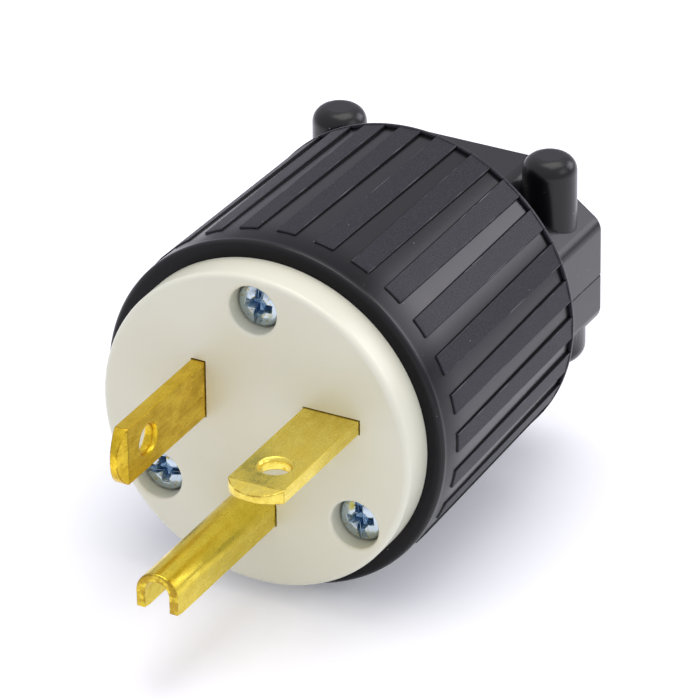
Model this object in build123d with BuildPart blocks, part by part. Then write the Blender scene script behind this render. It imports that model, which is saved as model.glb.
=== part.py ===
from build123d import *
from math import cos, radians, sin
import os

# Straight blade plug, 20 A pattern: one upright blade, one level blade and a U-shaped ground prong.
# Millimetres. The face that meets the outlet lies in y = 0, +Y runs back to the cord,
# +X is to the right as seen from the front, +Z is up and the ground prong is at the bottom.

# Contact pattern on the face
blade_width = 6.35
blade_thickness = 1.53
blade_line_z = 3.55
hot_x = -6.35
neutral_x = 8.9
ground_drop = 11.88
blade_reach = 17.6
blade_nose_length = 1.8
blade_nose_thickness = 0.8
blade_hole_from_nose = 5.85
blade_hole_radius = 1.55
blade_hole_chamfer = 0.3
ground_reach = 20.7
ground_width = 4.7
ground_wall = 0.95
ground_leg = 2.05
ground_nose_round = 0.25

# Clearances between pieces that meet
slot_clearance = 0.1
screw_clearance = 0.15
head_clearance = 0.2
boss_clearance = 0.3
spigot_clearance = 0.2
flange_clearance = 0.4
carrier_clearance = 0.6
part_gap = 0.3

# Face
face_radius = 17.65
face_edge_round = 0.65
spigot_length = 3.2
well_radius = 2.7
well_depth = 3.3
well_mouth_round = 0.35
well_land = 0.05
screw_angles = (90, 215, 325)

# Blade shoulders and tails behind the face
shoulder_length = 2.5
shoulder_step = 1.35
hot_jog = 2.7
neutral_jog = 1.5
strap_lead = 0.9
strap_margin = 0.1
tail_past_screw = 3.4

# Terminal screws and the plates under their heads
terminal_head_radius = 3.2
terminal_head_height = 2.0
terminal_past_tail = 2.2
plate_side = 8.2
plate_thickness = 1.0
plate_corner = 1.2
plate_room = 0.5

# Terminal carrier
flange_thickness = 3.0
wire_well_floor = 1.2
carrier_past_tail = 1.0
relief_room = 0.5

# Screws
shank_radius = 1.75
face_head_height = 2.1
face_screw_length = 22.7
screw_end_room = 0.6
head_edge_round = 0.7
head_edge_chamfer = 0.4
drive_width = 0.8
drive_slot_depth = 0.7
drive_cross_span = 3.4
drive_cross_depth = 1.2

# Housing shell
ring_y = 4.1
ring_seat = 0.65
ring_inner_land = 0.95
ring_outer_land = 0.82
ring_step = 0.15
body_length = 30.8
body_taper = 0.92
body_edge_chamfer = 0.2
rear_shell = 2.3
rear_wall = 2.6
rim_height = 0.42
rim_length = 0.5
rim_edge_chamfer = 0.2
boss_wall = 1.3

# Grip ribs
rib_count = 28
front_band = 3.2
rib_front_height = 0.28
rib_rear_height = 0.38
rib_front_width = 2.2
rib_rear_width = 2.5
rib_end_chamfer = 0.14

# Cord passage through the clamp, with ridges that bite on the jacket
cord_radius = 8.0
ridge_height = 0.7
ridge_base_half = 0.8
ridge_top_half = 0.3
ridge_first = 2.6
ridge_pitch = 3.0
mouth_flare = 0.8

# Cord clamp: the upper half belongs to the housing, the lower half is a loose bar
clamp_length = 11.7
clamp_cheek = 8.3
clamp_corner_round = 1.8
clamp_rear_chamfer = 0.4
upper_wall = 4.2
upper_shoulder = 6.0
upper_top_half_width = 8.4
lower_wall = 3.2
lower_shoulder = 6.6
lower_bottom_half_width = 10.1
post_inset = 3.9
post_from_rear = 4.6
post_wall = 1.0
post_rise = 3.0
post_round = 1.7
post_cap = 5.9
foot_wall = 0.55
foot_drop = 3.8
foot_round = 1.6
clamp_head_radius = 3.0
clamp_head_height = 2.2
clamp_head_recess = 0.9
lip_reach = 1.6
lip_wall = 1.2

# Contacts: where they stand and how far they reach
ground_z = blade_line_z - ground_drop
ground_crown_z = ground_z + ground_width / 2
blade_half = blade_thickness / 2
blade_corner_reach = blade_reach - blade_nose_length
blade_hole_reach = blade_reach - blade_hole_from_nose
hot_tail_x = hot_x - hot_jog
neutral_tail_z = blade_line_z - neutral_jog
slot_long = blade_width + 2 * slot_clearance
slot_short = blade_thickness + 2 * slot_clearance

# Stations along the axis
face_back_y = ring_y + spigot_length
shoulder_front_y = face_back_y - shoulder_length
strap_front_y = face_back_y - strap_lead
bend_back_y = face_back_y + blade_thickness
boss_front_y = face_back_y + flange_thickness
wire_well_floor_y = boss_front_y + wire_well_floor
terminal_y = wire_well_floor_y + plate_side / 2
tail_end_y = terminal_y + tail_past_screw
carrier_back_y = tail_end_y + carrier_past_tail
face_screw_end_y = well_depth + face_screw_length
band_y = ring_y + ring_step
rib_front_y = ring_y + front_band
rear_y = ring_y + body_length
rim_y = rear_y - rim_length
clamp_rear_y = rear_y + clamp_length
post_y = clamp_rear_y - post_from_rear

# Radii about the axis, and the circle of the face screws
bore_front_radius = face_radius - ring_seat
spigot_radius = bore_front_radius - spigot_clearance
flange_radius = spigot_radius - flange_clearance
ring_step_radius = face_radius + ring_inner_land
body_front_radius = ring_step_radius + ring_outer_land
floor_rear_radius = body_front_radius - body_taper
rim_radius = floor_rear_radius + rim_height
bore_rear_radius = floor_rear_radius - rear_shell
carrier_radius = bore_rear_radius - carrier_clearance
screw_circle = face_radius - face_edge_round - well_land - well_mouth_round - well_radius

# Screws, their bosses and posts, and the wells of the terminals
screw_hole_radius = shank_radius + screw_clearance
face_head_radius = well_radius - head_clearance
boss_radius = screw_hole_radius + boss_wall
post_radius = screw_hole_radius + post_wall
foot_radius = clamp_head_radius + boss_clearance + foot_wall
wire_well_half_width = plate_side / 2 + plate_room
strap_width = plate_side + 2 * strap_margin
relief_depth = terminal_past_tail + relief_room

# Levels and widths of the clamp
clamp_half_width = cord_radius + clamp_cheek
upper_top_z = cord_radius + upper_wall
upper_corner_z = upper_top_z - upper_shoulder
lower_bottom_z = -cord_radius - lower_wall
lower_corner_z = lower_bottom_z + lower_shoulder
post_x = clamp_half_width - post_inset
post_top_z = upper_top_z + post_rise
post_hole_top_z = post_top_z - post_cap
foot_z = lower_corner_z - foot_drop
clamp_seat_z = foot_z + clamp_head_recess + clamp_head_height
post_spots = ((-post_x, post_y), (post_x, post_y))

# Planes of the blades and the ground tail: x across, y along the axis, z towards the wiring side
hot_lie = Plane((hot_x, 0, blade_line_z), x_dir=(0, 0, 1), z_dir=(-1, 0, 0))
neutral_lie = Plane((neutral_x, 0, blade_line_z), x_dir=(1, 0, 0), z_dir=(0, 0, 1))
ground_lie = Plane((0, 0, ground_crown_z - ground_wall), x_dir=(-1, 0, 0), z_dir=(0, 0, -1))
back = Vector(0, 1, 0)


def section(y):
    """Drawing plane across the plug's axis at y: X to the right and Z up."""
    return Plane((0, y, 0), x_dir=(1, 0, 0), z_dir=(0, -1, 0))


def face_screw_planes(y):
    """Drawing planes across the axis at y, one centred on each face screw."""
    turns = [radians(turn) for turn in screw_angles]
    spots = [(screw_circle * cos(turn), y, screw_circle * sin(turn)) for turn in turns]
    return [Plane(spot, x_dir=(1, 0, 0), z_dir=(0, -1, 0)) for spot in spots]


def floor_radius(y):
    """Radius of the smooth tapered body between the ribs."""
    share = (y - band_y) / (rim_y - band_y)
    return body_front_radius + share * (floor_rear_radius - body_front_radius)


def drive_screw(seat, head_radius, head_height, shank_length, soften, edge):
    """Screw with a slot and a cross in its head; seat is the plane under the head, soften eases its crown."""
    with BuildPart() as screw:
        with BuildSketch(seat):
            Circle(head_radius)
        extrude(amount=head_height)
        crown = screw.faces().sort_by(Axis(seat.origin, seat.z_dir))[-1]
        soften(crown.edges(), edge)
        with BuildSketch(seat.offset(head_height)):
            Rectangle(2 * head_radius, drive_width)
        extrude(amount=-drive_slot_depth, mode=Mode.SUBTRACT)
        with BuildSketch(seat.offset(head_height)):
            Rectangle(drive_cross_span, drive_width)
            Rectangle(drive_width, drive_cross_span)
        extrude(amount=-drive_cross_depth, mode=Mode.SUBTRACT)
        with BuildSketch(seat):
            Circle(shank_radius)
        extrude(amount=-shank_length)
    return screw.part


def flat_blade(lie, jog):
    """Stamped blade with a bevelled round nose, a chamfered hole, shoulders and a tail set off by jog."""
    half = blade_width / 2
    wide = half + shoulder_step
    with BuildPart() as blade:
        with BuildSketch(lie):
            with BuildLine():
                ThreePointArc((-half, -blade_corner_reach), (0, -blade_reach), (half, -blade_corner_reach))
                Polyline(
                    (half, -blade_corner_reach),
                    (half, shoulder_front_y),
                    (wide, shoulder_front_y),
                    (wide, face_back_y),
                    (half, face_back_y),
                    (half, tail_end_y),
                    (-half, tail_end_y),
                    (-half, face_back_y),
                    (-wide, face_back_y),
                    (-wide, shoulder_front_y),
                    (-half, shoulder_front_y),
                    (-half, -blade_corner_reach),
                )
            make_face()
        extrude(amount=abs(jog) + blade_half, both=True)
        with BuildSketch(Plane(lie.origin, x_dir=lie.y_dir, z_dir=lie.x_dir)):
            with BuildLine():
                Polyline(
                    (-blade_reach, blade_nose_thickness / 2),
                    (-blade_corner_reach, blade_half),
                    (bend_back_y, blade_half),
                    (bend_back_y, -blade_half),
                    (-blade_corner_reach, -blade_half),
                    (-blade_reach, -blade_nose_thickness / 2),
                    close=True,
                )
            make_face()
            with Locations((face_back_y, jog / 2)):
                Rectangle(blade_thickness, abs(jog) + blade_thickness, align=(Align.MIN, Align.CENTER))
            with Locations((face_back_y, jog)):
                Rectangle(tail_end_y - face_back_y, blade_thickness, align=(Align.MIN, Align.CENTER))
        extrude(amount=wide, both=True, mode=Mode.INTERSECT)
        with BuildSketch(lie):
            with Locations((0, -blade_hole_reach)):
                Circle(blade_hole_radius)
        extrude(amount=blade_half, both=True, mode=Mode.SUBTRACT)
        rounds = blade.edges().filter_by(GeomType.CIRCLE)
        chamfer([e for e in rounds if e.radius < blade_hole_radius + blade_hole_chamfer], blade_hole_chamfer)
        with BuildSketch(lie.offset(jog)):
            with Locations((0, terminal_y)):
                Circle(screw_hole_radius)
        extrude(amount=blade_half, both=True, mode=Mode.SUBTRACT)
    return blade.part


def wire_plate(seat):
    """Square pressure plate with clipped corners; seat is the tail's face, centred on the screw."""
    with BuildPart() as plate:
        with BuildSketch(seat) as outline:
            Rectangle(plate_side, plate_side)
            chamfer(outline.vertices(), plate_corner)
            Circle(screw_hole_radius, mode=Mode.SUBTRACT)
        extrude(amount=plate_thickness)
    return plate.part


def terminal_seat(lie, tail_half):
    """Plane on the wiring side of a tail, centred on its terminal screw."""
    spot = lie.origin + lie.y_dir * terminal_y + lie.z_dir * tail_half
    return Plane(spot, x_dir=lie.x_dir, z_dir=lie.z_dir)


def terminal_screw(seat, tail_thickness):
    """Terminal screw whose head holds the wire plate against the tail."""
    shank = plate_thickness + tail_thickness + terminal_past_tail
    return drive_screw(
        seat.offset(plate_thickness),
        terminal_head_radius,
        terminal_head_height,
        shank,
        chamfer,
        head_edge_chamfer,
    )


# White front: a disc that stands proud of the housing on a spigot that enters its bore
with BuildPart() as front_face:
    with BuildSketch(Plane.XY) as disc:
        with BuildLine():
            Polyline(
                (0, 0),
                (face_radius, 0),
                (face_radius, ring_y),
                (spigot_radius, ring_y),
                (spigot_radius, face_back_y),
                (0, face_back_y),
                close=True,
            )
        make_face()
        fillet(disc.vertices().sort_by_distance((face_radius, 0))[0], face_edge_round)
    revolve(axis=Axis.Y)
    with BuildSketch(*face_screw_planes(0)):
        Circle(well_radius)
    extrude(amount=well_depth, dir=back, mode=Mode.SUBTRACT)
    mouths = front_face.edges().group_by(Axis.Y)[0].filter_by(GeomType.CIRCLE)
    fillet([e for e in mouths if e.radius < 2 * well_radius], well_mouth_round)
    with BuildSketch(*face_screw_planes(well_depth)):
        Circle(screw_hole_radius)
    extrude(amount=face_back_y - well_depth, dir=back, mode=Mode.SUBTRACT)
    with BuildSketch(section(0)):
        with Locations((hot_x, blade_line_z)):
            Rectangle(slot_short, slot_long)
        with Locations((neutral_x, blade_line_z)):
            Rectangle(slot_long, slot_short)
        with Locations((0, ground_z)):
            Circle(ground_width / 2 + slot_clearance)
        with Locations((0, ground_z)):
            Rectangle(
                ground_width + 2 * slot_clearance,
                ground_leg + slot_clearance,
                align=(Align.CENTER, Align.MAX),
            )
    extrude(amount=face_back_y, dir=back, mode=Mode.SUBTRACT)
    pocket_long = slot_long + 2 * shoulder_step
    with BuildSketch(section(shoulder_front_y)):
        with Locations((hot_x, blade_line_z)):
            Rectangle(slot_short, pocket_long)
        with Locations((neutral_x, blade_line_z)):
            Rectangle(pocket_long, slot_short)
    extrude(amount=face_back_y - shoulder_front_y, dir=back, mode=Mode.SUBTRACT)
    with BuildSketch(section(strap_front_y)):
        with Locations((0, ground_crown_z + slot_clearance)):
            Rectangle(
                strap_width + 2 * slot_clearance,
                ground_wall + 2 * slot_clearance,
                align=(Align.CENTER, Align.MAX),
            )
    extrude(amount=face_back_y - strap_front_y, dir=back, mode=Mode.SUBTRACT)

# Blades and ground prong
hot_blade = flat_blade(hot_lie, hot_jog)
neutral_blade = flat_blade(neutral_lie, -neutral_jog)

with BuildPart() as ground_prong:
    with BuildSketch(section(-ground_reach)):
        with Locations((0, ground_z)):
            Circle(ground_width / 2)
            Rectangle(ground_width, ground_leg, align=(Align.CENTER, Align.MAX))
            Circle(ground_width / 2 - ground_wall, mode=Mode.SUBTRACT)
            Rectangle(
                ground_width - 2 * ground_wall,
                ground_width,
                align=(Align.CENTER, Align.MAX),
                mode=Mode.SUBTRACT,
            )
    extrude(amount=ground_reach + face_back_y, dir=back)
    fillet(ground_prong.edges().group_by(Axis.Y)[0], ground_nose_round)
    with BuildSketch(section(strap_front_y)):
        with Locations((0, ground_crown_z)):
            Rectangle(strap_width, ground_wall, align=(Align.CENTER, Align.MAX))
    extrude(amount=tail_end_y - strap_front_y, dir=back)
    with BuildSketch(ground_lie):
        with Locations((0, terminal_y)):
            Circle(screw_hole_radius)
    extrude(amount=-ground_wall, mode=Mode.SUBTRACT)

# Terminals: a plate and a screw on the outer side of each tail
hot_seat = terminal_seat(hot_lie.offset(hot_jog), blade_half)
neutral_seat = terminal_seat(neutral_lie.offset(-neutral_jog), blade_half)
ground_seat = terminal_seat(ground_lie, 0)
hot_wire_plate = wire_plate(hot_seat)
neutral_wire_plate = wire_plate(neutral_seat)
ground_wire_plate = wire_plate(ground_seat)
hot_terminal_screw = terminal_screw(hot_seat, blade_thickness)
neutral_terminal_screw = terminal_screw(neutral_seat, blade_thickness)
ground_terminal_screw = terminal_screw(ground_seat, ground_wall)

# Carrier behind the face: a flange that traps the shoulders and bends, and a body with three wire wells
with BuildPart() as terminal_carrier:
    with BuildSketch(section(face_back_y)):
        Circle(flange_radius)
    extrude(amount=flange_thickness, dir=back)
    with BuildSketch(section(boss_front_y)):
        Circle(carrier_radius)
    extrude(amount=carrier_back_y - boss_front_y, dir=back)
    with BuildSketch(*face_screw_planes(boss_front_y)):
        Circle(boss_radius + boss_clearance)
    extrude(amount=carrier_back_y - boss_front_y, dir=back, mode=Mode.SUBTRACT)
    with BuildSketch(*face_screw_planes(face_back_y)):
        Circle(screw_hole_radius)
    extrude(amount=flange_thickness, dir=back, mode=Mode.SUBTRACT)
    with BuildSketch(section(face_back_y)):
        with Locations((hot_x + slot_short / 2, blade_line_z)):
            Rectangle(hot_jog + slot_short, slot_long, align=(Align.MAX, Align.CENTER))
        with Locations((neutral_x, blade_line_z + slot_short / 2)):
            Rectangle(slot_long, neutral_jog + slot_short, align=(Align.CENTER, Align.MAX))
    extrude(amount=blade_thickness + slot_clearance, dir=back, mode=Mode.SUBTRACT)
    with BuildSketch(section(face_back_y)):
        with Locations((hot_tail_x, blade_line_z)):
            Rectangle(slot_short, slot_long)
        with Locations((neutral_x, neutral_tail_z)):
            Rectangle(slot_long, slot_short)
        with Locations((0, ground_crown_z + slot_clearance)):
            Rectangle(
                strap_width + 2 * slot_clearance,
                ground_wall + 2 * slot_clearance,
                align=(Align.CENTER, Align.MAX),
            )
    extrude(amount=wire_well_floor_y - face_back_y, dir=back, mode=Mode.SUBTRACT)
    with BuildSketch(section(wire_well_floor_y)):
        with Locations((hot_tail_x + slot_short / 2, blade_line_z)):
            Rectangle(carrier_radius, 2 * wire_well_half_width, align=(Align.MAX, Align.CENTER))
        with Locations((neutral_x, neutral_tail_z - slot_short / 2)):
            Rectangle(2 * wire_well_half_width, carrier_radius, align=(Align.CENTER, Align.MIN))
        with Locations((0, ground_crown_z + slot_clearance)):
            Rectangle(2 * wire_well_half_width, carrier_radius, align=(Align.CENTER, Align.MAX))
    extrude(amount=carrier_back_y - wire_well_floor_y, dir=back, mode=Mode.SUBTRACT)
    with BuildSketch(hot_seat, neutral_seat, ground_seat):
        Circle(screw_hole_radius + screw_clearance)
    extrude(amount=-blade_thickness - relief_depth, mode=Mode.SUBTRACT)

# Face screws: from the wells through the carrier's flange into the housing's bosses
with BuildPart() as face_screws:
    add(
        [
            drive_screw(seat, face_head_radius, face_head_height, face_screw_length, fillet, head_edge_round)
            for seat in face_screw_planes(well_depth)
        ]
    )

# One grip rib at the top of the body, widening a little towards the rear rim
with BuildPart() as rib:
    rib_rear_y = rear_y - rim_length / 2
    rib_root = rear_shell / 2
    with BuildSketch(section(rib_front_y)):
        with Locations((0, floor_radius(rib_front_y) - rib_root)):
            Rectangle(rib_front_width, rib_root + rib_front_height, align=(Align.CENTER, Align.MIN))
    with BuildSketch(section(rib_rear_y)):
        with Locations((0, floor_radius(rib_rear_y) - rib_root)):
            Rectangle(rib_rear_width, rib_root + rib_rear_height, align=(Align.CENTER, Align.MIN))
    loft(ruled=True)
    chamfer(rib.faces().sort_by(Axis.Y)[0].edges().sort_by(Axis.Z)[-1], rib_end_chamfer)

# The hollow that the cord takes through the rear wall and the clamp
with BuildPart() as cord_path:
    crest = cord_radius - ridge_height
    ridge_room = clamp_length - ridge_first - ridge_base_half - mouth_flare
    outline = [(0, rear_y - rear_wall), (cord_radius, rear_y - rear_wall)]
    for k in range(int(ridge_room / ridge_pitch) + 1):
        middle = rear_y + ridge_first + k * ridge_pitch
        outline += [
            (cord_radius, middle - ridge_base_half),
            (crest, middle - ridge_top_half),
            (crest, middle + ridge_top_half),
            (cord_radius, middle + ridge_base_half),
        ]
    outline += [
        (cord_radius, clamp_rear_y - mouth_flare),
        (cord_radius + mouth_flare, clamp_rear_y),
        (0, clamp_rear_y),
    ]
    with BuildSketch(Plane.XY):
        with BuildLine():
            Polyline(*outline, close=True)
        make_face()
    revolve(axis=Axis.Y)

# Upper clamp half with two blind posts, moulded on to the rear wall
with BuildPart() as clamp_root:
    root_y = rear_y - rear_wall / 2
    with BuildSketch(section(root_y)) as upper_outline:
        with BuildLine():
            Polyline(
                (-clamp_half_width, 0),
                (clamp_half_width, 0),
                (clamp_half_width, upper_corner_z),
                (upper_top_half_width, upper_top_z),
                (-upper_top_half_width, upper_top_z),
                (-clamp_half_width, upper_corner_z),
                close=True,
            )
        make_face()
        fillet([v for v in upper_outline.vertices() if v.Y > upper_corner_z / 2], clamp_corner_round)
    extrude(amount=clamp_rear_y - root_y, dir=back)
    rear_edges = clamp_root.edges().group_by(Axis.Y)[-1]
    chamfer([e for e in rear_edges if e.center().Z > clamp_rear_chamfer], clamp_rear_chamfer)
    with BuildSketch(Plane.XY):
        with Locations(*post_spots):
            Circle(post_radius)
    extrude(amount=post_top_z)
    fillet(clamp_root.edges().group_by(Axis.Z)[-1], post_round)

# Black housing: tapered shell with a stepped front ring, grip ribs, screw bosses and the clamp's upper half
with BuildPart() as housing:
    with BuildSketch(Plane.XY) as shell:
        with BuildLine():
            Polyline(
                (bore_front_radius, ring_y),
                (ring_step_radius, ring_y),
                (ring_step_radius, band_y),
                (body_front_radius, band_y),
                (floor_rear_radius, rim_y),
                (rim_radius, rim_y),
                (rim_radius, rear_y),
                (cord_radius, rear_y),
                (cord_radius, rear_y - rear_wall),
                (bore_rear_radius, rear_y - rear_wall),
                close=True,
            )
        make_face()
        chamfer(shell.vertices().sort_by_distance((body_front_radius, band_y))[0], body_edge_chamfer)
        chamfer(shell.vertices().sort_by_distance((rim_radius, rear_y))[0], rim_edge_chamfer)
    revolve(axis=Axis.Y)
    add([rib.part.rotate(Axis.Y, 360 * k / rib_count) for k in range(rib_count)])
    with BuildSketch(*face_screw_planes(boss_front_y)):
        Circle(boss_radius)
    extrude(amount=rear_y - rear_wall / 2 - boss_front_y, dir=back)
    with BuildSketch(*face_screw_planes(boss_front_y)):
        Circle(screw_hole_radius)
    extrude(amount=face_screw_end_y + screw_end_room - boss_front_y, dir=back, mode=Mode.SUBTRACT)
    add(clamp_root.part)
    add(cord_path.part, mode=Mode.SUBTRACT)
    with BuildSketch(section(rear_y - rear_wall)):
        Circle(cord_radius + lip_wall + part_gap)
        Rectangle(
            2 * clamp_half_width,
            clamp_half_width,
            align=(Align.CENTER, Align.MAX),
            mode=Mode.INTERSECT,
        )
    extrude(amount=rear_wall, dir=back, mode=Mode.SUBTRACT)
    with BuildSketch(Plane.XY):
        with Locations(*post_spots):
            Circle(screw_hole_radius)
    extrude(amount=post_hole_top_z, mode=Mode.SUBTRACT)

# Round feet under the loose bar, around the clamp screws' heads
with BuildPart() as clamp_feet:
    with BuildSketch(Plane.XY):
        with Locations(*post_spots):
            Circle(foot_radius)
    extrude(amount=foot_z)
    fillet(clamp_feet.edges().group_by(Axis.Z)[0], foot_round)

# Loose clamp bar with a half-round lip that hooks into the housing's rear wall
with BuildPart() as cord_clamp_bar:
    bar_front_y = rear_y + part_gap
    with BuildSketch(section(bar_front_y)) as lower_outline:
        with BuildLine():
            Polyline(
                (-clamp_half_width, 0),
                (clamp_half_width, 0),
                (clamp_half_width, lower_corner_z),
                (lower_bottom_half_width, lower_bottom_z),
                (-lower_bottom_half_width, lower_bottom_z),
                (-clamp_half_width, lower_corner_z),
                close=True,
            )
        make_face()
        fillet([v for v in lower_outline.vertices() if v.Y < lower_corner_z / 2], clamp_corner_round)
    extrude(amount=clamp_rear_y - bar_front_y, dir=back)
    bar_edges = cord_clamp_bar.edges().group_by(Axis.Y)[-1]
    chamfer([e for e in bar_edges if e.center().Z < -clamp_rear_chamfer], clamp_rear_chamfer)
    add(clamp_feet.part)
    with BuildSketch(section(rear_y - lip_reach)):
        Circle(cord_radius + lip_wall)
        Rectangle(
            2 * clamp_half_width,
            clamp_half_width,
            align=(Align.CENTER, Align.MAX),
            mode=Mode.INTERSECT,
        )
    extrude(amount=lip_reach + 2 * part_gap, dir=back)
    add(cord_path.part, mode=Mode.SUBTRACT)
    with BuildSketch(Plane.XY.offset(lower_bottom_z)):
        with Locations(*post_spots):
            Circle(clamp_head_radius + boss_clearance)
    extrude(amount=clamp_seat_z - lower_bottom_z, mode=Mode.SUBTRACT)
    with BuildSketch(Plane.XY):
        with Locations(*post_spots):
            Circle(screw_hole_radius)
    extrude(amount=clamp_seat_z, mode=Mode.SUBTRACT)

# Clamp screws: up from the bar's feet into the blind posts
with BuildPart() as clamp_screws:
    add(
        [
            drive_screw(
                Plane((x, y, clamp_seat_z), x_dir=(1, 0, 0), z_dir=(0, 0, -1)),
                clamp_head_radius,
                clamp_head_height,
                post_hole_top_z - screw_end_room - clamp_seat_z,
                chamfer,
                head_edge_chamfer,
            )
            for x, y in post_spots
        ]
    )

pieces = {
    "front_face": front_face.part,
    "terminal_carrier": terminal_carrier.part,
    "hot_blade": hot_blade,
    "neutral_blade": neutral_blade,
    "ground_prong": ground_prong.part,
    "hot_wire_plate": hot_wire_plate,
    "neutral_wire_plate": neutral_wire_plate,
    "ground_wire_plate": ground_wire_plate,
    "hot_terminal_screw": hot_terminal_screw,
    "neutral_terminal_screw": neutral_terminal_screw,
    "ground_terminal_screw": ground_terminal_screw,
    "face_screws": face_screws.part,
    "housing": housing.part,
    "cord_clamp_bar": cord_clamp_bar.part,
    "clamp_screws": clamp_screws.part,
}
os.makedirs("parts", exist_ok=True)
for name, piece in pieces.items():
    piece.label = name
    export_step(piece, f"parts/{name}.step")
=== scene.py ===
import math

import bmesh
import bpy
from mathutils import Matrix, Vector


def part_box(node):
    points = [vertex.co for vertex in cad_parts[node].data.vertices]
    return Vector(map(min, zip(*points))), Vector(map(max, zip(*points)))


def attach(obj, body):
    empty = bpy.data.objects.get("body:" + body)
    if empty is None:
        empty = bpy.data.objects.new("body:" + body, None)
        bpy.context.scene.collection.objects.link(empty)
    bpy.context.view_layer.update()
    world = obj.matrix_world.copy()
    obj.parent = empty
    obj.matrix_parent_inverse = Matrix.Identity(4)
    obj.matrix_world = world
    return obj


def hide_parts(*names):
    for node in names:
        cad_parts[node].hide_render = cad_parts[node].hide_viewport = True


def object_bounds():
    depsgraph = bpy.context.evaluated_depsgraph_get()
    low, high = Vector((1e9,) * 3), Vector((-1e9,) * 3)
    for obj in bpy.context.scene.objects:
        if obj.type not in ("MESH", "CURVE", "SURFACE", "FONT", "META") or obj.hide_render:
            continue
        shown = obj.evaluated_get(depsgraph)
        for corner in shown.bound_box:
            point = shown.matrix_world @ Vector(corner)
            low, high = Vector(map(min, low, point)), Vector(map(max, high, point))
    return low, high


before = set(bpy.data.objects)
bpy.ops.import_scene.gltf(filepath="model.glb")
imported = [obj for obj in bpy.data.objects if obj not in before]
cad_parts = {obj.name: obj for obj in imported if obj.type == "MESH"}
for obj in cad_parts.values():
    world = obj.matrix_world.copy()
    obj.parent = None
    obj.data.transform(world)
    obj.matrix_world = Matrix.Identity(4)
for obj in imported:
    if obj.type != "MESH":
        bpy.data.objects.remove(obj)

cad_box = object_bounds()
mm = 0.001


# Flat blades. Yellow brass strip, stamped to shape with a hole near the nose, the nose coined to a bevel.
# Tumbling has broken every edge; handling has mottled the faces and browned the noses.
# Their shoulders and set-off tails sit behind the face, held between it and the carrier.
hot_low, hot_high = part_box("hot_blade")
neutral_low, neutral_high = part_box("neutral_blade")
face_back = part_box("front_face")[1].y
blade_width = 6.35 * mm
blade_thickness = 1.53 * mm
blade_reach = -hot_low.y
blade_end = hot_high.y
nose_length = 1.8 * mm
nose_thickness = 0.8 * mm
detent_from_nose = 5.85 * mm
detent_radius = 1.55 * mm
detent_chamfer = 0.3 * mm
shoulder_length = 2.5 * mm
shoulder_step = (hot_high.z - hot_low.z - blade_width) / 2
tail_hole_radius = 1.9 * mm
tail_hole_from_end = 3.4 * mm
blade_edge_break = 0.1 * mm
weld = 0.001 * mm
pinhole_sides = 8
smooth_below = math.radians(32)


def start_piece(name):
    """Takes the primitive just added, fixes its place and opens it for editing."""
    bpy.ops.object.transform_apply(location=True, rotation=True, scale=True)
    piece = bpy.context.object
    piece.name = piece.data.name = name
    bpy.ops.object.mode_set(mode="EDIT")
    return piece


def pick(kind, test):
    """Selects the vertices, edges or faces whose middle passes the test."""
    bpy.ops.mesh.select_mode(type=kind)
    bpy.ops.mesh.select_all(action="DESELECT")
    mesh = bmesh.from_edit_mesh(bpy.context.object.data)
    for part in {"VERT": mesh.verts, "EDGE": mesh.edges, "FACE": mesh.faces}[kind]:
        corners = [part.co] if kind == "VERT" else [vertex.co for vertex in part.verts]
        if test(sum(corners, Vector()) / len(corners)):
            part.select_set(True)
    mesh.select_flush_mode()
    bmesh.update_edit_mesh(bpy.context.object.data)


def near(value, target):
    """True within a hundredth of a millimetre."""
    return abs(value - target) < 0.01 * mm


def pull(*move):
    """Extrudes what is selected by a move."""
    bpy.ops.mesh.extrude_region_move(TRANSFORM_OT_translate={"value": move})


def slice_off(spot, normal, fill=True):
    """Cuts away all that lies beyond a plane."""
    bpy.ops.mesh.select_all(action="SELECT")
    bpy.ops.mesh.bisect(plane_co=spot, plane_no=normal, use_fill=fill, clear_outer=True, threshold=weld)


def settle(piece, modifier, kind, **settings):
    """Adds a modifier to the piece and applies it."""
    bpy.ops.object.mode_set(mode="OBJECT")
    bpy.ops.object.select_all(action="DESELECT")
    piece.select_set(True)
    bpy.context.view_layer.objects.active = piece
    change = piece.modifiers.new(modifier, kind)
    for setting, value in settings.items():
        setattr(change, setting, value)
    bpy.ops.object.modifier_apply(modifier=change.name)


def combine(piece, operation, tool):
    """Joins a tool's shape to the piece or cuts it out, and clears the tool away."""
    bpy.ops.object.mode_set(mode="OBJECT")
    settle(piece, "shape", "BOOLEAN", operation=operation, solver="EXACT", object=tool)
    bpy.data.objects.remove(tool)


def close_seams():
    """Merges the hair-thin slivers that cuts leave on the piece and fills the gaps beside them."""
    bpy.ops.object.mode_set(mode="EDIT")
    bpy.ops.mesh.select_all(action="SELECT")
    bpy.ops.mesh.remove_doubles(threshold=2 * weld)
    bpy.ops.mesh.fill_holes(sides=pinhole_sides)
    bpy.ops.mesh.select_all(action="SELECT")
    bpy.ops.mesh.dissolve_degenerate(threshold=weld)
    bpy.ops.object.mode_set(mode="OBJECT")


def smooth_shading(piece):
    """Smooths the shading over rounded edges and keeps broad flat faces flat."""
    bpy.ops.object.shade_smooth_by_angle(angle=smooth_below)
    settle(piece, "weights", "WEIGHTED_NORMAL", keep_sharp=True)


def break_edges(piece, width, sharper_than):
    """Rounds edges sharper than an angle in degrees and notes the new faces in the attribute edge."""
    for _ in range(2):
        piece.data.materials.append(None)
    settle(
        piece, "edges", "BEVEL", width=width, segments=2, limit_method="ANGLE",
        angle_limit=math.radians(sharper_than), use_clamp_overlap=False, material=1
    )
    edge = piece.data.attributes.new("edge", "FLOAT", "FACE")
    for face in piece.data.polygons:
        edge.data[face.index].value = face.material_index
        face.material_index = 0


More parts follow.
